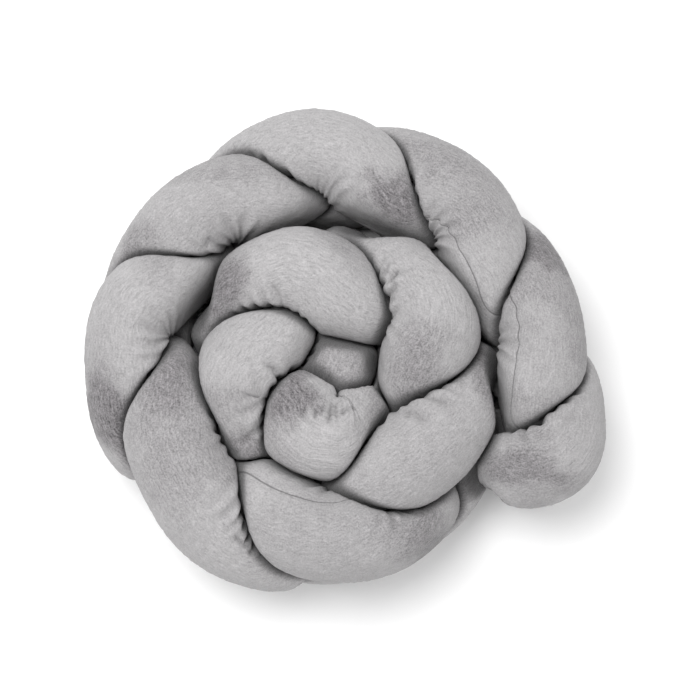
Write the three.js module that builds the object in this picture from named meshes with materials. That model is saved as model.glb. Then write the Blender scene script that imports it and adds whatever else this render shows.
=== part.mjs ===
// A three-strand plush braid that stands on its edge and is coiled into a flat spiral.
// Millimetres, +Z up. The origin is on the floor, under the middle of the coil.
import * as THREE from 'three';

// Sizes of one strand and of the braid's edge-on section.
const STRAND_RADIUS = 42;
const FLOOR_AXIS = 36;
const CREST_AXIS = 150;
const FLOOR_SWING = 28;
const FLOOR_REACH = 50;
const GAP = 1.5;

// A strand leans back as it passes over the crest and lingers on each side before it crosses.
const CREST_LAG = THREE.MathUtils.degToRad(7);
const CROSSING_DELAY = 0.3;
const TOP_BLEND = 0.35;
const SWING_BLEND = 0.8;

// How far the cloth may stretch where a strand is pressed, how softly it rounds off, and how far off, in
// strand radii, another stretch of strand can still press it.
const PRESSED_PERIMETER = 0.985;
const SLACKEST = 0.97;
const TIGHTEST = 1.25;
const CONTACT_SHARPNESS = 8;
const REACH_SHARPNESS = 4;
const BEND_MARGIN = 0.95;
const PRESS_RANGE = 2.8;
const LEAST_ROOM = 4;

// Where the strands start, counted in crests along the braid, and how both their ends taper.
const FIRST = 0.35;
const TAIL_RUN = 0.75;
const TAPER_RUN = 0.5;
const TAPER_LEAD = 0.12;
const TIP_GIRTH = 0.1;
const TAPER_POWER = 0.6;

// Facets of the solids.
const RINGS = 148;
const SIDES = 20;
const AXIS_SAMPLES = 460;
const AXIS_STEPS = 1380;
const HOLLOW_RELIEF = 0.6;
const DEEPEST_RELIEF = 0.4;
const SWELL_PASSES = 4;
const SWELL_RATE = 0.9;
const TRIM_PASSES = 2;

// One row for each crest of the braid, from the outer end to the middle, with one row past each end.
// x and y: the braid's middle line. swingIn and swingOut: how far the strand lies inside and outside of it
// before and after the crest. lift: crest height over CREST_AXIS. reach: how far the cloth goes from the
// middle line. foot: how far the braid's lower edge leans outward. girth: radius over STRAND_RADIUS.
// dive: the share by which the strand is fuller before the crest, and thinner where it dives after it.
const COLUMNS = ['x', 'y', 'swingIn', 'swingOut', 'lift', 'reach', 'foot', 'girth', 'dive'];
const CRESTS = [
  [121, -139, 16, 12, -30, 46, -10, 1.0, 0.15],
  [207, -104, 28, 5, -10, 54, -22, 1.0, 0.15],
  [194, 12, 33, 14, -2, 56, -8, 1.0, 0.15],
  [123, 135, 36, 14, 0, 57, -4, 1.0, 0.15],
  [-16, 193, 32, 11, 0, 58, -4, 1.0, 0.1],
  [-135, 138, 31, 11, 0, 59, -4, 1.02, -0.06],
  [-212, 17, 31, 8, 0, 51, -4, 1.02, 0.1],
  [-152, -127, 28, 25, 0, 84, -4, 1.11, 0.12],
  [-17, -188, 24, 28, 0, 53, -6, 1.04, 0.06],
  [81, -99, 32, 33, 2, 70, 22, 1.04, 0.15],
  [86, 31, 32, 22, 4, 60, 0, 1.0, 0.15],
  [-50, 70, 32, 34, 4, 76, 0, 1.03, 0.15],
  [-105, -41, 28, 26, 2, 60, 0, 1.0, 0.15],
  [-19, -98, 27, 26, 3, 74, -4, 1.08, 0.15],
  [-2, -3, 4, 10, -48, 80, 0, 1.25, 0.15],
  [-24, 10, 0, 8, -30, 60, 0, 1.0, 0.15],
].map((row) => Object.fromEntries(COLUMNS.map((key, i) => [key, row[i]])));

// The strands. crest: the first crest each one forms. last: how far along the braid it ends. drawn: how long
// before that its inner end is drawn in. tail and core: the points where its two ends are sewn.
const STRANDS = [
  { name: 'strand_a', crest: 1, last: 14.08, drawn: 1.3, tail: [151, -119, 104], core: [46, 1, 98] },
  { name: 'strand_b', crest: 2, last: 14.7, drawn: 0.8, tail: [155, -110, 40], core: [-20, 8, 84] },
  { name: 'strand_c', crest: 3, last: 13.9, drawn: 0.8, tail: [151, -114, 74], core: [-14, -52, 42] },
];
const COLOURS = [0xbebcbd, 0xbab8b9, 0xb6b4b5];

const { clamp, euclideanModulo, lerp, smoothstep } = THREE.MathUtils;
const TINY = 0.001;

// The crest table at any place along the braid, as a Catmull-Rom curve through its rows.
function crestAt(u) {
  const start = clamp(Math.floor(u), 0, CRESTS.length - 2);
  const f = u - start;
  const weights = [
    (-f + 2 * f ** 2 - f ** 3) / 2,
    (2 - 5 * f ** 2 + 3 * f ** 3) / 2,
    (f + 4 * f ** 2 - 3 * f ** 3) / 2,
    (f ** 3 - f ** 2) / 2,
  ];
  const row = {};
  for (const key of COLUMNS) {
    row[key] = 0;
    weights.forEach((weight, i) => {
      const index = clamp(start - 1 + i, 0, CRESTS.length - 1);
      row[key] += weight * CRESTS[index][key];
    });
  }
  return row;
}

// The way out of the coil at a place along the braid.
function outwardAt(u) {
  const before = crestAt(u - TINY);
  const after = crestAt(u + TINY);
  return new THREE.Vector3(after.y - before.y, before.x - after.x, 0).normalize();
}

// One point of a strand's axis, with what bounds the cloth around it.
function axisPoint(strand, u) {
  const row = crestAt(u);
  const outward = outwardAt(u);
  const turns = (u - strand.crest) / STRANDS.length;
  const turn = 2 * Math.PI * (euclideanModulo(turns + 0.5, 1) - 0.5);
  const crest = Math.cos(turn);
  const onTop = smoothstep(crest, -TOP_BLEND, TOP_BLEND);

  const crossing = Math.sin(2 * (turn - CROSSING_DELAY * Math.sin(2 * turn)));
  const crestSwing = lerp(row.swingIn, row.swingOut, smoothstep(turn, -SWING_BLEND, SWING_BLEND));
  const aside = crossing * lerp(FLOOR_SWING, crestSwing, onTop);
  const lean = row.foot * (1 - onTop);

  const middle = (FLOOR_AXIS + CREST_AXIS) / 2;
  const wave = (CREST_AXIS - FLOOR_AXIS) / 2;
  const height = middle + wave * Math.cos(turn + CREST_LAG) + row.lift * Math.max(crest, 0);
  const point = new THREE.Vector3(row.x, row.y, Math.max(height, FLOOR_AXIS));
  point.addScaledVector(outward, aside + lean);

  const leaveTail = smoothstep(u, FIRST, FIRST + TAIL_RUN);
  const reachCore = smoothstep(u, strand.last - strand.drawn, strand.last);
  point.lerp(new THREE.Vector3(...strand.tail), 1 - leaveTail);
  point.lerp(new THREE.Vector3(...strand.core), reachCore);

  const tailTaper = smoothstep(u, FIRST - TAPER_LEAD, FIRST + TAPER_RUN);
  const coreTaper = 1 - smoothstep(u, strand.last - TAPER_RUN, strand.last + TAPER_LEAD);
  const taper = lerp(TIP_GIRTH, 1, Math.min(tailTaper, coreTaper) ** TAPER_POWER);
  const squeeze = 1 - row.dive * onTop * Math.sin(turn);
  return {
    point,
    outward,
    aside: aside * leaveTail * (1 - reachCore),
    reach: lerp(FLOOR_REACH, row.reach, onTop),
    radius: STRAND_RADIUS * row.girth * squeeze * taper,
  };
}

// A strand's axis as points an equal length apart, each with its direction and distance along the strand.
function axisOf(strand, count) {
  const fine = [];
  let length = 0;
  for (let i = 0; i <= AXIS_STEPS; i += 1) {
    const u = lerp(FIRST, strand.last, i / AXIS_STEPS);
    const { point } = axisPoint(strand, u);
    if (i > 0) {
      length += point.distanceTo(fine[i - 1].point);
    }
    fine.push({ u, point, length });
  }
  const axis = [];
  let next = 1;
  for (let i = 0; i < count; i += 1) {
    const along = (length * i) / (count - 1);
    while (next < fine.length - 1 && fine[next].length < along) {
      next += 1;
    }
    const before = fine[next - 1];
    const after = fine[next];
    const part = (along - before.length) / (after.length - before.length);
    const tangent = after.point.clone().sub(before.point).normalize();
    axis.push({ ...axisPoint(strand, lerp(before.u, after.u, part)), tangent, along });
  }
  return axis;
}

// How far a ray from one strand's axis goes before it is nearer to another stretch of strand.
function contactLimit(ring, ray, strandIndex, axes) {
  let limit = Infinity;
  axes.forEach((axis, otherIndex) => {
    for (const other of axis) {
      const offset = other.point.clone().sub(ring.point);
      const same = otherIndex === strandIndex;
      const apart = Math.abs(other.along - ring.along);
      if (offset.lengthSq() > (PRESS_RANGE * STRAND_RADIUS) ** 2 || (same && apart < 1)) {
        continue;
      }
      const bend = same && apart < 2 * STRAND_RADIUS;
      const gap = bend ? 0 : GAP;
      const toward = ray.dot(offset) + gap;
      if (toward <= 0) {
        continue;
      }
      const share = bend ? 0 : ring.radius ** 2 - other.radius ** 2;
      const room = Math.max(offset.lengthSq() - gap ** 2 + share, LEAST_ROOM) / (2 * toward);
      limit = Math.min(limit, bend ? room * BEND_MARGIN : room);
    }
  });
  return limit;
}

const softMin = (a, b, sharpness) => (a ** -sharpness + b ** -sharpness) ** (-1 / sharpness);

// The cloth's distance from the axis along one ray, for a strand of a given free radius.
function clothRadius(free, side) {
  const reached = softMin(free, side.reach, REACH_SHARPNESS);
  return Math.min(softMin(reached, side.contact, CONTACT_SHARPNESS), side.floor);
}

// One ring's rays, with what bounds each of them.
function ringSides(ring, strandIndex, axes) {
  const right = ring.tangent.clone().cross(new THREE.Vector3(0, 0, 1)).normalize();
  const up = right.clone().cross(ring.tangent);
  const sides = [];
  for (let j = 0; j < SIDES; j += 1) {
    const angle = (2 * Math.PI * j) / SIDES;
    const ray = up.clone().multiplyScalar(Math.cos(angle)).addScaledVector(right, Math.sin(angle));
    const out = ray.dot(ring.outward);
    const room = ring.reach - Math.sign(out) * ring.aside;
    sides.push({
      ray,
      contact: contactLimit(ring, ray, strandIndex, axes),
      reach: room / Math.max(Math.abs(out), TINY),
      floor: ring.point.z / Math.max(-ray.z, TINY),
    });
  }
  return sides;
}

function perimeter(points) {
  return points.reduce((sum, point, j) => sum + point.distanceTo(points[(j + 1) % points.length]), 0);
}

// A strand's rings of points: a pressed strand swells where it is free, so that its cloth keeps its girth.
function strandRings(strandIndex, rings, axes) {
  const sides = rings.map((ring) => ringSides(ring, strandIndex, axes));
  const ringPoints = (i, radii) => radii.map((radius, j) => {
    return rings[i].point.clone().addScaledVector(sides[i][j].ray, radius);
  });
  const clothRadii = (i, free) => sides[i].map((side) => clothRadius(free, side));
  let free = rings.map((ring) => ring.radius);
  for (let pass = 0; pass < SWELL_PASSES; pass += 1) {
    const swollen = free.map((radius, i) => {
      const wanted = 2 * SIDES * Math.sin(Math.PI / SIDES) * rings[i].radius * PRESSED_PERIMETER;
      const grown = radius * (wanted / perimeter(ringPoints(i, clothRadii(i, radius)))) ** SWELL_RATE;
      return clamp(grown, SLACKEST * rings[i].radius, TIGHTEST * rings[i].radius);
    });
    free = swollen.map((radius, i) => {
      const before = swollen[Math.max(i - 1, 0)];
      const after = swollen[Math.min(i + 1, swollen.length - 1)];
      return (before + 2 * radius + after) / 4;
    });
  }
  let radii = rings.map((ring, i) => clothRadii(i, free[i]));
  for (let pass = 0; pass < TRIM_PASSES; pass += 1) {
    radii = trimmed(radii);
  }
  const points = radii.map((row, i) => ringPoints(i, row));
  return points.map((row, i) => row.map((point, j) => {
    const { ray, floor } = sides[i][j];
    if (radii[i][j] >= floor) {
      return point;
    }
    const along = bulge(points[i - 1]?.[j], point, points[i + 1]?.[j], ray);
    const around = bulge(row.at(j - 1), point, row[(j + 1) % SIDES], ray);
    const drawn = Math.min(HOLLOW_RELIEF * (along + around), DEEPEST_RELIEF * radii[i][j]);
    return point.clone().addScaledVector(ray, -drawn);
  }));
}

// The rings' radii with each peak drawn halfway in towards its neighbours.
function trimmed(radii) {
  return radii.map((row, i) => row.map((radius, j) => {
    const before = radii[Math.max(i - 1, 0)][j];
    const after = radii[Math.min(i + 1, radii.length - 1)][j];
    const around = row.at(j - 1) + row[(j + 1) % SIDES];
    return Math.min(radius, (radius + (before + after + around) / 4) / 2);
  }));
}

// How far the chord between two neighbours of a point stands out over it, along a ray, in a hollow.
function bulge(before, point, after, ray) {
  if (!before || !after) {
    return 0;
  }
  const chord = before.clone().lerp(after, 0.5).sub(point);
  return Math.max(chord.dot(ray), 0);
}

// A closed skin over a row of rings, with a point at each end. Each four-sided patch is split along the
// diagonal that lies deeper in the strand, so that pressed patches stay clear of what presses them.
function skin(rings, axis) {
  const points = [axis[0].point, ...rings.flat(), axis[axis.length - 1].point];
  const last = points.length - 1;
  const at = (i, j) => 1 + i * SIDES + (j % SIDES);
  const depth = (i, a, b) => points[a].clone().lerp(points[b], 0.5).distanceTo(axis[i].point);
  const indices = [];
  for (let j = 0; j < SIDES; j += 1) {
    indices.push(0, at(0, j + 1), at(0, j));
    indices.push(last, at(rings.length - 1, j), at(rings.length - 1, j + 1));
    for (let i = 0; i < rings.length - 1; i += 1) {
      const [a, b, c, d] = [at(i, j), at(i, j + 1), at(i + 1, j + 1), at(i + 1, j)];
      if (depth(i, a, c) + depth(i + 1, a, c) < depth(i, b, d) + depth(i + 1, b, d)) {
        indices.push(a, b, c, a, c, d);
      } else {
        indices.push(a, b, d, b, c, d);
      }
    }
  }
  const geometry = new THREE.BufferGeometry();
  const positions = points.flatMap((point) => [point.x, point.y, point.z]);
  geometry.setAttribute('position', new THREE.Float32BufferAttribute(positions, 3));
  geometry.setIndex(indices);
  geometry.computeVertexNormals();
  return geometry;
}

const braid = new THREE.Group();
const axes = STRANDS.map((strand) => axisOf(strand, AXIS_SAMPLES));
STRANDS.forEach((strand, strandIndex) => {
  const rings = axisOf(strand, RINGS);
  const points = strandRings(strandIndex, rings, axes);
  const geometry = skin(points, rings);
  const material = new THREE.MeshStandardMaterial({
    color: COLOURS[strandIndex],
    roughness: 0.95,
    metalness: 0,
  });
  const mesh = new THREE.Mesh(geometry, material);
  mesh.name = strand.name;
  braid.add(mesh);
});

export default braid;
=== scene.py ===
"""A plush three-strand braid on its edge, coiled into a flat spiral, seen from nearly straight above.

The strands follow the table of the part's source, with the ninth crest a little wider, on a grid that is fine
enough for gathers, seams and pile. The cloth of each strand is then let buckle, where a bend leaves it too
long, by a small relaxation. Shapes are worked out in millimetres and handed to Blender in metres.
"""

import math

import bpy
import numpy as np
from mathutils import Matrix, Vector


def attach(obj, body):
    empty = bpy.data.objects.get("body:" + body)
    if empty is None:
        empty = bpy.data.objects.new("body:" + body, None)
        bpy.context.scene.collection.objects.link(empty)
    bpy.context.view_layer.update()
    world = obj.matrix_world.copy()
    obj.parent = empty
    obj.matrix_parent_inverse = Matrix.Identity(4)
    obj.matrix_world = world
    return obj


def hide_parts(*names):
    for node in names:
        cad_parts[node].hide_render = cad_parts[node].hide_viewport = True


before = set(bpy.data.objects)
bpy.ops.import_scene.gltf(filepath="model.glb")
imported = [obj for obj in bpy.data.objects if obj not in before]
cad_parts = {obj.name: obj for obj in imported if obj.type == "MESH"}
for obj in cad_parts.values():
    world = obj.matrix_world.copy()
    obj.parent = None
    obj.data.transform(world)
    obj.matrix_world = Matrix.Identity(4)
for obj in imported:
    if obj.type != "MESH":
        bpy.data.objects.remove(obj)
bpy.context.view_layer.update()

MM = 0.001
TINY = 0.001
FAR = 1e9

# Sizes of one strand and of the braid's edge-on section, as in the part's source.
STRAND_RADIUS = 42
FLOOR_AXIS = 36
CREST_AXIS = 150
FLOOR_SWING = 28
FLOOR_REACH = 50
CREST_LAG = math.radians(7)
CROSSING_DELAY = 0.3
TOP_BLEND = 0.35
SWING_BLEND = 0.8

# How the cloth is pressed. The gap is finer and the contact sharper than those of the solids.
GAP = 0.8
PRESSED_PERIMETER = 0.985
SLACKEST = 0.97
TIGHTEST = 1.25
CONTACT_SHARPNESS = 15
REACH_SHARPNESS = 4
BEND_MARGIN = 0.95
PRESS_RANGE = 2.8
LEAST_ROOM = 4
SWELL_PASSES = 4
SWELL_RATE = 0.9
SWELL_SPREAD = 14

# Where the strands start, counted in crests along the braid, and how both their ends taper.
FIRST = 0.35
TAIL_RUN = 0.75
TAPER_RUN = 0.5
TAPER_LEAD = 0.12
TIP_GIRTH = 0.1
TAPER_POWER = 0.6

# One row for each crest of the braid, from the outer end to the middle, with one row past each end:
# x and y of the braid's middle line, the swing to its inside and outside before and after the crest,
# the crest's lift, how far the cloth reaches from the middle line, the lower edge's lean, the girth, and
# the share by which the strand is fuller before the crest and thinner after it.
X, Y, SWING_IN, SWING_OUT, LIFT, REACH, FOOT, GIRTH, DIVE = range(9)
CRESTS = np.array([
    [121, -139, 16, 12, -30, 46, -10, 1.0, 0.15],
    [207, -104, 28, 5, -10, 54, -22, 1.0, 0.15],
    [194, 12, 33, 14, -2, 56, -8, 1.0, 0.15],
    [123, 135, 36, 14, 0, 57, -4, 1.0, 0.15],
    [-16, 193, 32, 11, 0, 58, -4, 1.0, 0.1],
    [-135, 138, 31, 11, 0, 59, -4, 1.02, -0.06],
    [-212, 17, 31, 8, 0, 51, -4, 1.02, 0.1],
    [-152, -127, 28, 25, 0, 84, -4, 1.11, 0.12],
    [-17, -188, 24, 28, 0, 53, -6, 1.04, 0.06],
    [81, -99, 32, 35, 2, 78, 22, 1.04, 0.15],
    [86, 31, 32, 22, 4, 60, 0, 1.0, 0.15],
    [-50, 70, 32, 34, 4, 76, 0, 1.03, 0.15],
    [-105, -41, 28, 26, 2, 60, 0, 1.0, 0.15],
    [-19, -98, 27, 26, 3, 74, -4, 1.08, 0.15],
    [-2, -3, 4, 10, -48, 80, 0, 1.25, 0.15],
    [-24, 10, 0, 8, -30, 60, 0, 1.0, 0.15],
])

# The strands. crest: the first crest each one forms. last: how far along the braid it ends. drawn: how long
# before that its inner end is drawn in. tail and core: where its two ends are sewn. seam: the angle of its
# long seam around it, in degrees inward (below zero) or outward of straight up, at places along the braid.
STRANDS = [
    {
        "name": "strand_a", "crest": 1, "last": 14.08, "drawn": 1.3,
        "tail": (151, -119, 104), "core": (46, 1, 98),
        "seam": [(0, -130), (16, -130)],
    },
    {
        "name": "strand_b", "crest": 2, "last": 14.7, "drawn": 0.8,
        "tail": (155, -110, 40), "core": (-20, 8, 84),
        "seam": [
            (0, -110), (1.0, -75), (1.5, -24), (1.6, -13), (1.69, -21), (1.79, -30), (1.91, -36), (2.02, -36),
            (2.14, -34), (2.6, -75), (3.4, -130), (6.4, -130), (7.1, -75), (7.38, -30), (7.49, -9),
            (7.57, -1), (7.63, -3), (7.7, -9), (7.76, -18), (7.83, -25), (8.2, -60), (9.2, -130), (16, -130),
        ],
    },
    {
        "name": "strand_c", "crest": 3, "last": 13.9, "drawn": 0.8,
        "tail": (151, -114, 74), "core": (-14, -52, 42),
        "seam": [
            (0, -120), (1.7, -90), (2.44, -22), (2.54, -2), (2.63, -1), (2.69, -12), (2.75, -27), (2.85, -42),
            (2.95, -51), (3.4, -90), (4.4, -130), (16, -130),
        ],
    },
]

# The meshes' grid: rings along a strand, and points around it with one on the seam and one on either side of
# it, SEAM_SIDE away. The seam's angle is eased over a length of SEAM_EASE, and the cloth over a few points.
RINGS = 1180
SIDES = 83
SEAM_SIDE = 1.3
SEAM_EASE = 8
EASE_ALONG = 1.6
EASE_AROUND = 0.9

# Rings lie closer together around the thirteenth crest: where that sets in and ends, and by how much.
FINE_FROM = (12.4, 12.7)
FINE_TO = (13.4, 13.7)
FINER = 1.8

# Steps that measure an axis, points on it that press on other strands, and rings that are taken at a time.
AXIS_STEPS = 4000
AXIS_POINTS = 544
CHUNK = 40

# Noise: the cells in a side of its lattice, the round stretch of it that each strand takes, and for each use
# the size of its cells in millimetres and its seed.
LATTICE = 32
NOISE_STRETCH = 5000
NOISE_RADIUS = 40
PATCHY_NOISE = (38, 5)
SWAY_NOISE = (30, 3)
SLOW_SWAY_NOISE = (75, 4)
JITTER_NOISE = (7, 8)
LUMP_NOISE = (52, 21)
TUFT_NOISE = (4.6, 22)
WANDER_NOISE = (9, 24)
SOFT_NAP_SIZE = 60
SOFT_NAP_SEED = 11
WARP_SIZE = 21
FINE_WARP_SIZE = 8
WARP_SEEDS = (31, 33)
FUZZ_SEED = 23

# The cloth that a bend leaves too long: from what crowding on and up to what share, and how uneven that is.
TAUT_SHARE = 0.9
LEAST_LENGTH = 0.1
CROWD_ALONG = 3
CROWD_AROUND = 1
SLACK_RANGE = (0.2, 1.0)
SLACK_MOST = 0.4
PATCHY = (0.35, 1.3)

# How it buckles: the first waves' length, depth and sway, and then the relaxation's stiffnesses and bounds.
GATHER_LENGTH = 13
GATHER_SEED = 1.4
GATHER_FULL = 0.12
SWAY = 1.5
SLOW_SWAY = 0.6
JITTER = 0.3
RELAX_PASSES = 120
SPRING = 0.4
SHEAR = 0.06
BEND_ALONG = 0.1
BEND_AROUND = 0.05
FILLING = 0.004
OUTWARD_MOST = 2.5
LEAST_APART = 1e-6

# Tables of patches name the crest that a patch is on, so that it reaches only the strand's upper side there.
PATCH_RUN = 1.15
PATCH_FACING = (-0.5, 0)

# Gathered places: the crest they are on, their middle, half length, half width, heading and how much longer
# the cloth is there. GATHER_EDGE is where their edge sets in and ends.
GATHER_EDGE = (0.3, 1.3)
GATHERS = [
    (7, -92, -180, 58, 22, -54, 0.36),
    (4, -75, 171, 48, 20, -28, 0.28),
    (5, -141, 100, 34, 18, 5, 0.28),
    (6, -177, -10, 36, 18, 42, 0.24),
    (8, 54, -175, 36, 22, -20, 0.20),
    (9, 83, -63, 48, 20, 39, 0.26),
    (10, 48, 51, 42, 24, -85, 0.36),
    (11, -68, 31, 58, 20, 0, 0.34),
    (12, -70, -60, 46, 24, 60, 0.34),
    (12, -88, -104, 24, 20, 30, 0.20),
    (13, -14, -69, 28, 18, 0, 0.20),
    (1, 206, -71, 48, 20, 49, 0.24),
    (2, 158, 22, 34, 14, 85, 0.24),
    (3, 77, 143, 42, 14, -71, 0.26),
]

# Seam groove, stuffing lumps and the pile's fuzz.
SEAM_DEPTH = 1.4
SEAM_SHOULDER = 0.5
LUMP_DEPTH = 1.6
TUFT_DEPTH = 0.5
FUZZ_DEPTH = 0.22

# Short creases: the crest they are on, their middle, half length, half width, heading and depth. They wander
# a little from side to side, fade out at their ends and stay on the strand's upper side.
CREASE_WANDER = 2.2
CREASE_END = (0.45, 1.15)
CREASE_RUN = 1.1
CREASE_FACING = (-0.2, 0.1)
CREASES = [
    (7, -101, -193, 6, 2.0, -60, 4.0),
    (7, -91, -204, 7, 2.0, -62, 4.5),
    (7, -97, -199, 4, 1.8, -45, 2.5),
    (7, -83, -210, 5, 2.0, -70, 2.5),
    (13, -13, -75, 13, 2.4, 83, 5.0),
    (13, -7, -72, 9, 2.0, 88, 3.6),
    (13, -28, -75, 8, 2.4, 76, 4.0),
    (13, -21, -71, 7, 2.4, 70, 3.0),
    (13, 1, -71, 6, 2.2, 60, 3.2),
    (13, 7, -69, 5, 2.4, 40, 2.6),
    (10, 39, 69, 9, 2.6, 60, 3.4),
    (10, 46, 60, 9, 2.6, 55, 3.2),
    (10, 45, 48, 9, 2.6, 50, 3.4),
    (10, 43, 37, 8, 2.8, 40, 3.0),
    (10, 45, 25, 8, 2.8, 25, 2.2),
    (12, -70, -30, 10, 2.2, -20, 2.4),
    (12, -82, -88, 14, 3.0, 25, 2.4),
    (12, -92, -96, 13, 3.0, 30, 2.2),
    (4, -90, 186, 8, 2.2, 30, 3.0),
    (9, 60, -72, 7, 2.4, 70, 3.0),
    (8, 48, -174, 12, 3.0, -50, 2.2),
    (8, 60, -168, 10, 3.0, -55, 2.0),
    (1, 218, -73, 10, 3.0, 40, 2.2),
    (5, -134, 96, 8, 2.4, 60, 2.6),
]

# Pile that is brushed dark: the crest it is on, its middle, half length, half width, heading and strength.
# NAP_EDGE is where a patch's edge sets in and ends. The edge is warped by up to half of each warp, and soft
# patches of half the strength lie elsewhere.
NAP_EDGE = (0.3, 1.6)
NAP_WARP = 22
FINE_NAP_WARP = 11
SOFT_NAP = 0.5
SOFT_NAP_RANGE = (0.5, 0.85)
DARK_NAP = [
    (1, 218, -73, 70, 50, 60, 0.2),
    (1, 175, -127, 46, 22, -10, 0.9),
    (2, 195, 12, 80, 40, -85, 0.25),
    (2, 202, 88, 32, 20, -45, 1.15),
    (3, 122, 130, 80, 50, -45, 0.05),
    (3, 97, 178, 60, 26, -35, 0.55),
    (4, 52, 136, 34, 26, -40, 1.15),
    (5, -131, 134, 80, 40, 25, 0.2),
    (5, -205, 84, 40, 24, 60, 0.7),
    (6, -230, -72, 42, 24, -60, 1.45),
    (7, -168, -34, 62, 40, 90, 0.95),
    (7, -165, -100, 75, 50, -80, 0.55),
    (8, -19, -186, 80, 50, 0, 0.25),
    (8, 73, -186, 32, 26, 60, 0.8),
    (9, 73, -106, 80, 50, 40, 0.25),
    (9, 138, -31, 36, 22, -70, 0.85),
    (10, 68, -25, 42, 34, 75, 0.75),
    (11, -124, 50, 38, 20, 70, 1.1),
    (12, -92, -108, 32, 16, -30, 0.85),
    (13, -53, -56, 40, 22, 75, 1.35),
    (13, 32, -70, 30, 14, 60, 0.55),
    (14, 0, -19, 50, 44, 0, 0.5),
]

# Painted shade in the pile's colour: the distances from a neighbour, and the depths in a fold and in a
# crease, between which it changes from none to full, how much of it folds and creases get, and how far it is
# blurred.
CREVICE = (0.8, 8)
FOLD = (2.5, 6)
FOLD_SHADE = 0.6
CREASE = (0.8, 3)
CREASE_SHADE = 0.42
SHADE_ALONG = 1.2
SHADE_AROUND = 0.7

# The plush: its colours, how deep its painted shade is, and the seam's dark line.
PALE_PILE = (0.385, 0.376, 0.381, 1)
DARK_PILE = (0.190, 0.181, 0.187, 1)
DEEPEST_SHADE = 0.32
SEAM_LINE = (0.0002, 0.0010)
SEAM_TONE = 0.5

# The studio, in metres: paper floor, sky, one soft light, and the camera's view.
FLOOR_HALF = 4
PAPER = (0.94, 0.94, 0.94, 1)
SKY_STRENGTH = 0.83
KEY_PLACE = (-0.45, 0.22, 2.4)
KEY_AIM = (0, 0, 0.1)
KEY_SIZE = 1.1
KEY_POWER = 38.5
CAMERA_TARGET = (0.005, -0.001, 0.120)
CAMERA_ELEVATION = math.radians(81)
CAMERA_DISTANCE = 1.9
SENSOR = 36
VIEW_WIDTH = 0.700


def smooth(x, low, high):
    t = np.clip((x - low) / (high - low), 0, 1)
    return t * t * (3 - 2 * t)


def mix(a, b, t):
    return a + (b - a) * t


def unit(v):
    return v / np.linalg.norm(v, axis=-1, keepdims=True)


def blurred(values, sigma, axis, wrap=False):
    """Gaussian blur along one axis of a grid."""
    reach = max(int(3 * sigma), 1)
    offsets = np.arange(-reach, reach + 1)
    weights = np.exp(-0.5 * (offsets / sigma) ** 2)
    weights /= weights.sum()
    count = values.shape[axis]
    total = 0
    for offset, weight in zip(offsets, weights):
        index = np.arange(count) + offset
        index = index % count if wrap else np.clip(index, 0, count - 1)
        total = total + weight * np.take(values, index, axis=axis)
    return total


def noise(points, size, seed):
    """Smooth seeded noise from 0 to 1 at points in millimetres, with cells of the given size."""
    lattice = np.random.default_rng(seed).random((LATTICE, LATTICE, LATTICE))
    p = points / size
    cell = np.floor(p).astype(int)
    f = p - cell
    f = f * f * (3 - 2 * f)
    total = np.zeros(points.shape[:-1])
    for corner in np.ndindex(2, 2, 2):
        at = (cell + corner) % LATTICE
        weight = 1
        for axis, far_side in enumerate(corner):
            weight = weight * (f[..., axis] if far_side else 1 - f[..., axis])
        total += lattice[at[..., 0], at[..., 1], at[..., 2]] * weight
    return total


def crest_at(u):
    """The crest table at any place along the braid, as a Catmull-Rom curve through its rows."""
    start = np.clip(np.floor(u).astype(int), 0, len(CRESTS) - 2)
    f = u - start
    weights = [
        (-f + 2 * f**2 - f**3) / 2,
        (2 - 5 * f**2 + 3 * f**3) / 2,
        (f + 4 * f**2 - 3 * f**3) / 2,
        (f**3 - f**2) / 2,
    ]
    row = 0
    for i, weight in enumerate(weights):
        index = np.clip(start - 1 + i, 0, len(CRESTS) - 1)
        row = row + weight[:, None] * CRESTS[index]
    return row


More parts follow.
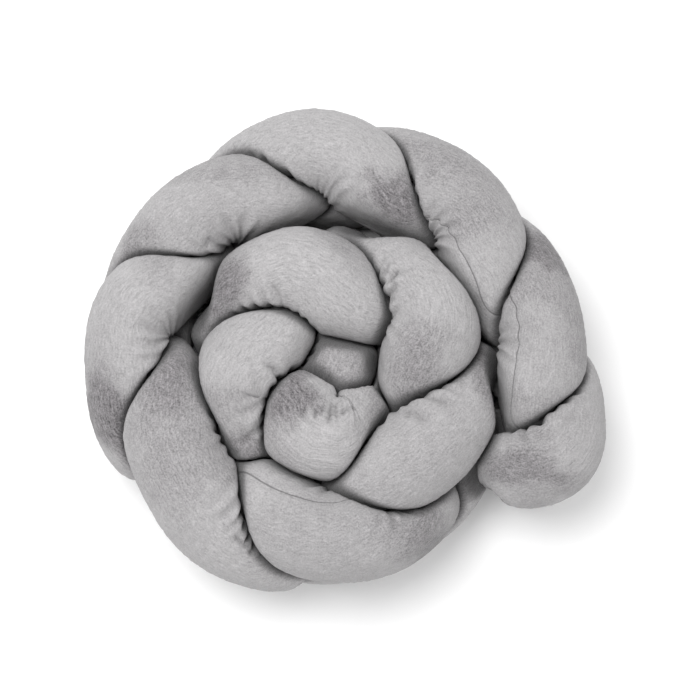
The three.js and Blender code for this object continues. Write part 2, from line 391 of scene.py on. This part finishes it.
def axis_points(strand, u):
    """Points of a strand's axis, with what bounds the cloth around them."""
    row = crest_at(u)
    step = crest_at(u + TINY) - crest_at(u - TINY)
    outward = unit(np.column_stack([step[:, Y], -step[:, X], np.zeros_like(u)]))
    turn = 2 * math.pi * (((u - strand["crest"]) / len(STRANDS) + 0.5) % 1 - 0.5)
    crest = np.cos(turn)
    on_top = smooth(crest, -TOP_BLEND, TOP_BLEND)

    crossing = np.sin(2 * (turn - CROSSING_DELAY * np.sin(2 * turn)))
    crest_swing = mix(row[:, SWING_IN], row[:, SWING_OUT], smooth(turn, -SWING_BLEND, SWING_BLEND))
    aside = crossing * mix(FLOOR_SWING, crest_swing, on_top)
    lean = row[:, FOOT] * (1 - on_top)

    middle = (FLOOR_AXIS + CREST_AXIS) / 2
    wave = (CREST_AXIS - FLOOR_AXIS) / 2
    height = middle + wave * np.cos(turn + CREST_LAG) + row[:, LIFT] * np.maximum(crest, 0)
    point = np.column_stack([row[:, X], row[:, Y], np.maximum(height, FLOOR_AXIS)])
    point = point + outward * (aside + lean)[:, None]

    leave_tail = smooth(u, FIRST, FIRST + TAIL_RUN)
    reach_core = smooth(u, strand["last"] - strand["drawn"], strand["last"])
    point = mix(np.array(strand["tail"]), point, leave_tail[:, None])
    point = mix(point, np.array(strand["core"]), reach_core[:, None])

    tail_taper = smooth(u, FIRST - TAPER_LEAD, FIRST + TAPER_RUN)
    core_taper = 1 - smooth(u, strand["last"] - TAPER_RUN, strand["last"] + TAPER_LEAD)
    taper = mix(TIP_GIRTH, 1, np.minimum(tail_taper, core_taper) ** TAPER_POWER)
    squeeze = 1 - row[:, DIVE] * on_top * np.sin(turn)
    return {
        "u": u,
        "point": point,
        "outward": outward,
        "aside": aside * leave_tail * (1 - reach_core),
        "reach": mix(FLOOR_REACH, row[:, REACH], on_top),
        "radius": STRAND_RADIUS * row[:, GIRTH] * squeeze * taper,
    }


def axis_of(strand, count):
    """A strand's axis as points an equal length apart, closer together around the thirteenth crest."""
    u = np.linspace(FIRST, strand["last"], AXIS_STEPS)
    steps = np.linalg.norm(np.diff(axis_points(strand, u)["point"], axis=0), axis=1)
    length = np.concatenate([[0], np.cumsum(steps)])
    finer = smooth(u, *FINE_FROM) * (1 - smooth(u, *FINE_TO))
    place = np.concatenate([[0], np.cumsum(steps * (1 + FINER * finer[1:]))])
    places = np.linspace(0, place[-1], count)
    axis = axis_points(strand, np.interp(places, place, u))
    axis["along"] = np.interp(places, place, length)
    return axis


def contact_limit(index, axis, rays, axes):
    """How far each ray goes before it is nearer to another stretch of strand."""
    limit = np.full(rays.shape[:2], FAR)
    for other_index, other in enumerate(axes):
        for first in range(0, len(rays), CHUNK):
            rows = slice(first, first + CHUNK)
            offset = other["point"][None] - axis["point"][rows, None]
            square = (offset**2).sum(2)
            apart = np.full(square.shape, FAR)
            if other_index == index:
                apart = np.abs(other["along"][None] - axis["along"][rows, None])
            near = (square <= (PRESS_RANGE * STRAND_RADIUS) ** 2) & (apart >= 1)
            keep = np.nonzero(near.any(0))[0]
            if not len(keep):
                continue
            bend = apart[:, keep] < 2 * STRAND_RADIUS
            gap = np.where(bend, 0, GAP)
            share = axis["radius"][rows, None] ** 2 - other["radius"][None, keep] ** 2
            share = np.where(bend, 0, share)
            toward = np.einsum("rsx,rqx->rsq", rays[rows], offset[:, keep]) + gap[:, None]
            room = np.maximum(square[:, keep] - gap**2 + share, LEAST_ROOM)[:, None]
            room = room / (2 * np.maximum(toward, 1 / FAR))
            room = np.where(bend[:, None], room * BEND_MARGIN, room)
            room = np.where((toward > 0) & near[:, keep][:, None], room, FAR)
            limit[rows] = np.minimum(limit[rows], room.min(2))
    return limit


def soft_min(a, b, sharpness):
    return (a**-sharpness + b**-sharpness) ** (-1 / sharpness)


def seam_offsets():
    """Angles around a strand, counted from its seam."""
    side = SEAM_SIDE / STRAND_RADIUS
    rest = np.linspace(side, 2 * math.pi - side, SIDES - 1)
    return np.concatenate([[0], rest])


def strand_shape(strand, index, axis, axes):
    """A strand's rays, the cloth's distance along each of them, and the most that it may be."""
    tangent = unit(np.gradient(axis["point"], axis=0))
    right = unit(np.cross(tangent, (0, 0, 1)))
    up = np.cross(right, tangent)
    step = axis["along"][-1] / RINGS
    seam = np.interp(axis["u"], *zip(*strand["seam"]))
    angle = np.radians(blurred(seam, SEAM_EASE / step, 0))[:, None] + seam_offsets()
    rays = up[:, None] * np.cos(angle)[..., None] + right[:, None] * np.sin(angle)[..., None]
    limit = contact_limit(index, axis, rays, axes)
    out = np.einsum("rsx,rx->rs", rays, axis["outward"])
    reach = (axis["reach"][:, None] - np.sign(out) * axis["aside"][:, None]) / np.maximum(np.abs(out), TINY)
    floor = axis["point"][:, 2, None] / np.maximum(-rays[..., 2], TINY)

    def cloth_radius(free):
        reached = soft_min(free[:, None], reach, REACH_SHARPNESS)
        return np.minimum(soft_min(reached, limit, CONTACT_SHARPNESS), floor)

    free = axis["radius"]
    for _ in range(SWELL_PASSES):
        points = axis["point"][:, None] + rays * cloth_radius(free)[..., None]
        girth = np.linalg.norm(points - np.roll(points, 1, axis=1), axis=2).sum(1)
        wanted = 2 * math.pi * axis["radius"] * PRESSED_PERIMETER
        free = free * (wanted / girth) ** SWELL_RATE
        free = np.clip(free, SLACKEST * axis["radius"], TIGHTEST * axis["radius"])
        free = blurred(free, SWELL_SPREAD / step, 0)
    eased = blurred(blurred(cloth_radius(free), EASE_ALONG, 0), EASE_AROUND, 1, wrap=True)
    most = np.minimum(limit, floor)
    return rays, np.minimum(eased, most), most


def cloth_places(axis, index):
    """Places on the cloth as it was sewn, for noise that follows it. Each strand has its own stretch."""
    along = np.broadcast_to(axis["along"][:, None], (RINGS, SIDES))
    around = np.broadcast_to(seam_offsets(), (RINGS, SIDES))
    across = [NOISE_RADIUS * np.cos(around), NOISE_RADIUS * np.sin(around)]
    return np.stack([along + NOISE_STRETCH * index, *across], axis=-1)


def rows_of(table, index):
    """The rows of a table of patches that are on one strand."""
    return [row for row in table if (row[0] - 1) % len(STRANDS) == index]


def on_patch(row, points, wander=0):
    """Where points are along and across a patch, in its half lengths and half widths."""
    _, x, y, half_length, half_width, heading, _ = row
    turn = math.radians(heading)
    dx, dy = points[..., 0] - x, points[..., 1] - y
    along = (dx * math.cos(turn) + dy * math.sin(turn)) / half_length
    across = (dy * math.cos(turn) - dx * math.sin(turn) + wander) / half_width
    return along, across


def patches(table, index, axis, points, rays, edge):
    """The strength of each patch of a table at the points of a strand, one patch at a time."""
    for row in rows_of(table, index):
        here = 1 - smooth(np.hypot(*on_patch(row, points)), *edge)
        on_lobe = np.abs(axis["u"][:, None] - row[0]) < PATCH_RUN
        here = here * on_lobe * smooth(rays[..., 2], *PATCH_FACING)
        yield row[-1] * here


def slack_cloth(index, axis, rays, base, length, places):
    """How much longer the cloth is than its room, as a share of that."""
    taut = np.quantile(length, TAUT_SHARE, axis=1)
    crowd = taut[:, None] / np.maximum(length, LEAST_LENGTH) - 1
    crowd = blurred(blurred(crowd, CROWD_ALONG, 0), CROWD_AROUND, 1, wrap=True)
    crowd = np.concatenate([crowd, crowd[-1:]])
    slack = SLACK_MOST * smooth(crowd, *SLACK_RANGE)
    for here in patches(GATHERS, index, axis, base, rays, GATHER_EDGE):
        slack = np.maximum(slack, here)
    return slack * mix(*PATCHY, noise(places, *PATCHY_NOISE))


def first_waves(slack, places):
    """How far in the cloth starts, in shallow waves where it is slack."""
    sway = noise(places, *SWAY_NOISE) - 0.5 + SLOW_SWAY * noise(places, *SLOW_SWAY_NOISE)
    waves = np.sin(2 * math.pi * (places[..., 0] / GATHER_LENGTH + SWAY * sway))
    depth = GATHER_SEED * smooth(slack, 0, GATHER_FULL) * (0.5 + 0.5 * waves)
    return depth + JITTER * (noise(places, *JITTER_NOISE) - 0.5)


def springs(cloth, move, first, second, rest, stiffness):
    """Add to move what brings two sets of points back to their rest length apart."""
    apart = cloth[second] - cloth[first]
    length = np.sqrt((apart**2).sum(-1))
    push = apart * (stiffness * (1 - rest / np.maximum(length, LEAST_APART)))[..., None]
    move[first] += push
    move[second] -= push


def bend_along(grid):
    return (grid[2:] + grid[:-2]) / 2 - grid[1:-1]


def bend_around(grid):
    return (np.roll(grid, -1, axis=1) + np.roll(grid, 1, axis=1)) / 2 - grid


def buckled(index, axis, rays, radius, most, places):
    """The cloth, buckled where a bend leaves it too long, between its neighbours and its filling."""
    centre = axis["point"][:, None].astype(np.float32)
    rays = rays.astype(np.float32)
    base = centre + rays * radius[..., None].astype(np.float32)
    length = np.linalg.norm(np.diff(base, axis=0), axis=2)
    slack = slack_cloth(index, axis, rays, base, length, places)
    cloth = base - rays * first_waves(slack, places)[..., None].astype(np.float32)

    every = np.arange(SIDES)
    after = (every + 1) % SIDES
    every_row, rows, next_rows = slice(None), slice(None, -1), slice(1, None)
    longer = (slack[1:] + slack[:-1]) / 2
    along_rest = (length * (1 + longer)).astype(np.float32)
    around_rest = np.linalg.norm(base[:, after] - base, axis=2)
    grown = along_rest**2 - length**2
    one = np.linalg.norm(base[1:, after] - base[:-1], axis=2)
    two = np.linalg.norm(base[1:] - base[:-1, after], axis=2)
    one = np.sqrt(one**2 + grown).astype(np.float32)
    two = np.sqrt(two**2 + grown).astype(np.float32)
    bent_along = bend_along(base)
    bent_around = bend_around(base)
    most = np.minimum(most, radius + OUTWARD_MOST).astype(np.float32)
    radius = radius.astype(np.float32)
    for _ in range(RELAX_PASSES):
        move = np.zeros_like(cloth)
        springs(cloth, move, (rows, every), (next_rows, every), along_rest, SPRING)
        springs(cloth, move, (every_row, every), (every_row, after), around_rest, SPRING)
        springs(cloth, move, (rows, every), (next_rows, after), one, SHEAR)
        springs(cloth, move, (rows, after), (next_rows, every), two, SHEAR)
        cloth = cloth + move
        bent = np.zeros_like(cloth)
        bent[1:-1] = bend_along(cloth) - bent_along
        cloth[1:-1] -= BEND_ALONG * bend_along(bent)
        cloth -= BEND_AROUND * bend_around(bend_around(cloth) - bent_around)
        out = ((cloth - centre) * rays).sum(-1)
        push = np.where(out > most, most - out, FILLING * np.maximum(radius - out, 0))
        cloth = cloth + rays * push[..., None]
    return cloth.astype(float)


def crease_depth(index, axis, rays, cloth):
    """How deep the cloth lies in short creases."""
    wander = CREASE_WANDER * (noise(cloth, *WANDER_NOISE) - 0.5)
    creased = np.zeros(cloth.shape[:2])
    for row in rows_of(CREASES, index):
        along, across = on_patch(row, cloth, wander)
        here = np.exp(-(across**2)) * (1 - smooth(np.abs(along), *CREASE_END))
        on_lobe = np.abs(axis["u"][:, None] - row[0]) < CREASE_RUN
        here = here * on_lobe * smooth(rays[..., 2], *CREASE_FACING)
        creased = creased + row[-1] * here
    return creased


def detailed(index, axis, rays, cloth, most, places, creased):
    """The cloth with its creases, seam, lumps and fuzz, kept inside what bounds it."""
    inward = LUMP_DEPTH * noise(places, *LUMP_NOISE) + TUFT_DEPTH * (noise(places, *TUFT_NOISE) - 0.5)
    inward = inward + FUZZ_DEPTH * np.random.default_rng(FUZZ_SEED + index).normal(size=inward.shape)
    inward = inward + creased
    inward[:, 0] += SEAM_DEPTH
    inward[:, [1, -1]] += SEAM_SHOULDER
    cloth = cloth - rays * inward[..., None]
    out = ((cloth - axis["point"][:, None]) * rays).sum(-1)
    cloth = cloth - rays * np.maximum(out - most, 0)[..., None]
    cloth[..., 2] = np.maximum(cloth[..., 2], 0)
    return cloth


def shaded_pile(axis, rays, radius, most, points, creased):
    """Painted shade for the pile's colour: close to a neighbouring strand, in a fold or in a crease."""
    out = ((points - axis["point"][:, None]) * rays).sum(-1)
    apart = blurred(blurred(most - out, SHADE_ALONG, 0), SHADE_AROUND, 1, wrap=True)
    shade = 1 - smooth(apart, *CREVICE)
    shade = np.maximum(shade, FOLD_SHADE * smooth(radius - out, *FOLD))
    return np.maximum(shade, CREASE_SHADE * smooth(creased, *CREASE))


def nap_warp(points, seed):
    broad = NAP_WARP * (noise(points, WARP_SIZE, seed) - 0.5)
    return broad + FINE_NAP_WARP * (noise(points, FINE_WARP_SIZE, seed + 1) - 0.5)


def brushed(index, axis, points, rays):
    """Where the pile is brushed dark: the patches that show, and soft ones elsewhere."""
    nap = SOFT_NAP * smooth(noise(points, SOFT_NAP_SIZE, SOFT_NAP_SEED + index), *SOFT_NAP_RANGE)
    warp_x, warp_y = [nap_warp(points, seed) for seed in WARP_SEEDS]
    warped = points + np.stack([warp_x, warp_y, np.zeros_like(warp_x)], axis=-1)
    for here in patches(DARK_NAP, index, axis, warped, rays, NAP_EDGE):
        nap = np.maximum(nap, here)
    return nap


def lay_flat(mesh, axis):
    """UVs in metres on the cloth as it was sewn: along the strand, and around it from the seam."""
    around = np.append(seam_offsets(), 2 * math.pi)
    u_grid = np.broadcast_to(axis["along"][:, None] * MM, (RINGS, SIDES + 1))
    v_grid = np.broadcast_to(around * STRAND_RADIUS * MM, (RINGS, SIDES + 1))
    corner = np.stack([u_grid, v_grid], axis=-1)
    quad_uv = np.stack([corner[:-1, :-1], corner[:-1, 1:], corner[1:, 1:], corner[1:, :-1]], axis=2)
    fan_uv = np.full((2 * SIDES * 3, 2), 0.5)
    layer = mesh.uv_layers.new(name="UVMap")
    layer.data.foreach_set("uv", np.concatenate([quad_uv.reshape(-1, 2), fan_uv]).ravel())


def strand_mesh(strand, index, axes):
    """A strand's closed mesh, with its brushed pile and its painted shade as point attributes."""
    axis = axis_of(strand, RINGS)
    rays, radius, most = strand_shape(strand, index, axis, axes)
    places = cloth_places(axis, index)
    cloth = buckled(index, axis, rays, radius, most, places)
    creased = crease_depth(index, axis, rays, cloth)
    points = detailed(index, axis, rays, cloth, most, places, creased)

    at = np.arange(RINGS * SIDES).reshape(RINGS, SIDES)
    after = np.roll(at, -1, axis=1)
    quads = np.stack([at[:-1], after[:-1], after[1:], at[1:]], axis=-1).reshape(-1, 4)
    first, last = RINGS * SIDES, RINGS * SIDES + 1
    tail_fan = [(first, int(b), int(a)) for a, b in zip(at[0], after[0])]
    core_fan = [(last, int(a), int(b)) for a, b in zip(at[-1], after[-1])]
    vertices = np.concatenate([points.reshape(-1, 3), axis["point"][[0, -1]]]) * MM

    mesh = bpy.data.meshes.new(strand["name"] + "_plush")
    mesh.from_pydata(vertices.tolist(), [], quads.tolist() + tail_fan + core_fan)
    mesh.shade_smooth()
    lay_flat(mesh, axis)
    nap = brushed(index, axis, points, rays)
    shade = shaded_pile(axis, rays, radius, most, points, creased)
    for name, values in (("nap", nap), ("shade", shade)):
        layer = mesh.attributes.new(name, "FLOAT", "POINT")
        layer.data.foreach_set("value", np.concatenate([values.ravel(), [0, 0]]))
    return mesh


def feed(tree, socket, value):
    """Link a socket to another one, or set it to a value."""
    if isinstance(value, bpy.types.NodeSocket):
        tree.links.new(value, socket)
    else:
        socket.default_value = value


def node(tree, kind, **inputs):
    """A new node with its inputs fed. An underscore in an input's name stands for a space."""
    made = tree.nodes.new(kind)
    for name, value in inputs.items():
        feed(tree, made.inputs[name.replace("_", " ")], value)
    return made


def math_node(tree, operation, a, b):
    made = tree.nodes.new("ShaderNodeMath")
    made.operation = operation
    feed(tree, made.inputs[0], a)
    feed(tree, made.inputs[1], b)
    return made.outputs[0]


def remap(tree, value, from_range, to_range, shape="LINEAR"):
    """A value taken from one range to another, and held inside it."""
    made = node(tree, "ShaderNodeMapRange", Value=value, From_Min=from_range[0], From_Max=from_range[1],
                To_Min=to_range[0], To_Max=to_range[1])
    made.interpolation_type = shape
    return made.outputs["Result"]


def attribute(tree, name):
    made = tree.nodes.new("ShaderNodeAttribute")
    made.attribute_name = name
    return made.outputs["Fac"]


def centred(tree, texture, amount):
    """A noise texture's value, from minus to plus half of the amount."""
    return math_node(tree, "MULTIPLY", math_node(tree, "SUBTRACT", texture.outputs["Fac"], 0.5), amount)


def plush_material():
    """Short grey pile: streaks along its lie, grain, mottling, patches brushed dark, the seam and painted
    shade.
    """
    material = bpy.data.materials.new("grey_plush")
    material.use_nodes = True
    tree = material.node_tree
    shader = tree.nodes["Principled BSDF"]
    place = tree.nodes.new("ShaderNodeTexCoord")
    in_space = place.outputs["Object"]
    on_cloth = place.outputs["UV"]

    # Textures: streaks that follow the cloth and drift a little, and three sizes of noise in space.
    drift = node(tree, "ShaderNodeTexNoise", Vector=in_space, Scale=60.0, Detail=1.0)
    bent = node(tree, "ShaderNodeMixRGB", Fac=0.006, Color1=on_cloth, Color2=drift.outputs["Color"])
    lie = node(tree, "ShaderNodeMapping", Vector=bent.outputs["Color"], Scale=(170, 520, 1))
    streak = node(tree, "ShaderNodeTexNoise", Vector=lie.outputs["Vector"], Scale=1.0, Detail=4.0,
                  Roughness=0.7)
    grain = node(tree, "ShaderNodeTexNoise", Vector=in_space, Scale=620.0, Detail=2.0)
    mottle = node(tree, "ShaderNodeTexNoise", Vector=in_space, Scale=55.0, Detail=4.0, Roughness=0.6)
    broad = node(tree, "ShaderNodeTexNoise", Vector=in_space, Scale=11.0, Detail=2.0)

    # Brushed patches have ragged edges, and their pile is rougher.
    ragged = math_node(tree, "ADD", attribute(tree, "nap"), centred(tree, streak, 1.2))
    ragged = math_node(tree, "ADD", ragged, centred(tree, mottle, 0.7))
    dark = remap(tree, ragged, (0.05, 1.1), (0.0, 1.0))
    colour = node(tree, "ShaderNodeMixRGB", Fac=dark, Color1=PALE_PILE, Color2=DARK_PILE)
    tone = math_node(tree, "ADD", centred(tree, streak, 1.3), centred(tree, grain, 0.75))
    tone = math_node(tree, "MULTIPLY", tone, remap(tree, dark, (0.0, 1.0), (0.9, 2.4)))
    tone = math_node(tree, "ADD", tone, centred(tree, mottle, 0.12))
    tone = math_node(tree, "ADD", tone, centred(tree, broad, 0.16))
    tone = math_node(tree, "ADD", tone, 1.0)

    # The seam's thin dark line, and shade painted into the colour in crevices, folds and creases.
    parts = node(tree, "ShaderNodeSeparateXYZ", Vector=on_cloth)
    around = 2 * math.pi * STRAND_RADIUS * MM
    other_way = math_node(tree, "SUBTRACT", around, parts.outputs["Y"])
    from_seam = math_node(tree, "MINIMUM", parts.outputs["Y"], other_way)
    seam_tone = remap(tree, from_seam, SEAM_LINE, (SEAM_TONE, 1.0), "SMOOTHSTEP")
    tone = math_node(tree, "MULTIPLY", tone, seam_tone)
    # Painted shade: the colour is darkened as the shade attribute rises, down to DEEPEST_SHADE.
    shade_tone = remap(tree, attribute(tree, "shade"), (0.0, 1.0), (1.0, DEEPEST_SHADE))
    tone = math_node(tree, "MULTIPLY", tone, shade_tone)
    shaded = tree.nodes.new("ShaderNodeVectorMath")
    shaded.operation = "SCALE"
    feed(tree, shaded.inputs[0], colour.outputs["Color"])
    feed(tree, shaded.inputs["Scale"], tone)
    feed(tree, shader.inputs["Base Color"], shaded.outputs[0])

    half_grain = math_node(tree, "MULTIPLY", grain.outputs["Fac"], 0.5)
    height = math_node(tree, "ADD", streak.outputs["Fac"], half_grain)
    bump = node(tree, "ShaderNodeBump", Strength=0.8, Distance=0.002, Height=height)
    feed(tree, shader.inputs["Normal"], bump.outputs["Normal"])
    feed(tree, shader.inputs["Roughness"], remap(tree, streak.outputs["Fac"], (0.2, 0.8), (0.86, 1.0)))
    shader.inputs["Specular IOR Level"].default_value = 0.1
    shader.inputs["Sheen Weight"].default_value = 0.22
    shader.inputs["Sheen Roughness"].default_value = 0.5
    return material


def build_strands():
    axes = [axis_of(strand, AXIS_POINTS) for strand in STRANDS]
    plush = plush_material()
    for index, strand in enumerate(STRANDS):
        mesh = strand_mesh(strand, index, axes)
        mesh.materials.append(plush)
        piece = bpy.data.objects.new(strand["name"] + "_plush", mesh)
        bpy.context.collection.objects.link(piece)
        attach(piece, "root")
        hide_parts(strand["name"])


def paper_floor():
    near, far = -FLOOR_HALF, FLOOR_HALF
    mesh = bpy.data.meshes.new("floor")
    mesh.from_pydata([(near, near, 0), (far, near, 0), (far, far, 0), (near, far, 0)], [], [(0, 1, 2, 3)])
    floor = bpy.data.objects.new("floor", mesh)
    bpy.context.collection.objects.link(floor)
    paper = bpy.data.materials.new("white_paper")
    paper.use_nodes = True
    tree = paper.node_tree
    shader = tree.nodes["Principled BSDF"]
    place = tree.nodes.new("ShaderNodeTexCoord")
    tooth = node(tree, "ShaderNodeTexNoise", Vector=place.outputs["Object"], Scale=900.0)
    feed(tree, shader.inputs["Roughness"], remap(tree, tooth.outputs["Fac"], (0.3, 0.7), (0.85, 0.95)))
    shader.inputs["Base Color"].default_value = PAPER
    shader.inputs["Specular IOR Level"].default_value = 0.1
    mesh.materials.append(paper)


def studio_light():
    world = bpy.data.worlds.new("studio")
    world.use_nodes = True
    background = world.node_tree.nodes["Background"]
    background.inputs["Color"].default_value = (1, 1, 1, 1)
    background.inputs["Strength"].default_value = SKY_STRENGTH
    bpy.context.scene.world = world

    light = bpy.data.lights.new("key", "AREA")
    light.shape = "DISK"
    light.size = KEY_SIZE
    light.energy = KEY_POWER
    lamp = bpy.data.objects.new("key", light)
    lamp.location = KEY_PLACE
    lamp.rotation_euler = (Vector(KEY_AIM) - Vector(KEY_PLACE)).to_track_quat("-Z", "Y").to_euler()
    bpy.context.collection.objects.link(lamp)


def photo_camera():
    """A camera nearly straight above, at the photograph's viewing angle."""
    data = bpy.data.cameras.new("camera")
    data.sensor_width = SENSOR
    data.lens = SENSOR * CAMERA_DISTANCE / VIEW_WIDTH
    camera = bpy.data.objects.new("camera", data)
    toward = Vector((0, -math.cos(CAMERA_ELEVATION), math.sin(CAMERA_ELEVATION)))
    camera.location = Vector(CAMERA_TARGET) + CAMERA_DISTANCE * toward
    camera.rotation_euler = (math.pi / 2 - CAMERA_ELEVATION, 0, 0)
    bpy.context.collection.objects.link(camera)
    bpy.context.scene.camera = camera
    bpy.context.scene.view_settings.view_transform = "Standard"


build_strands()
paper_floor()
studio_light()
photo_camera()
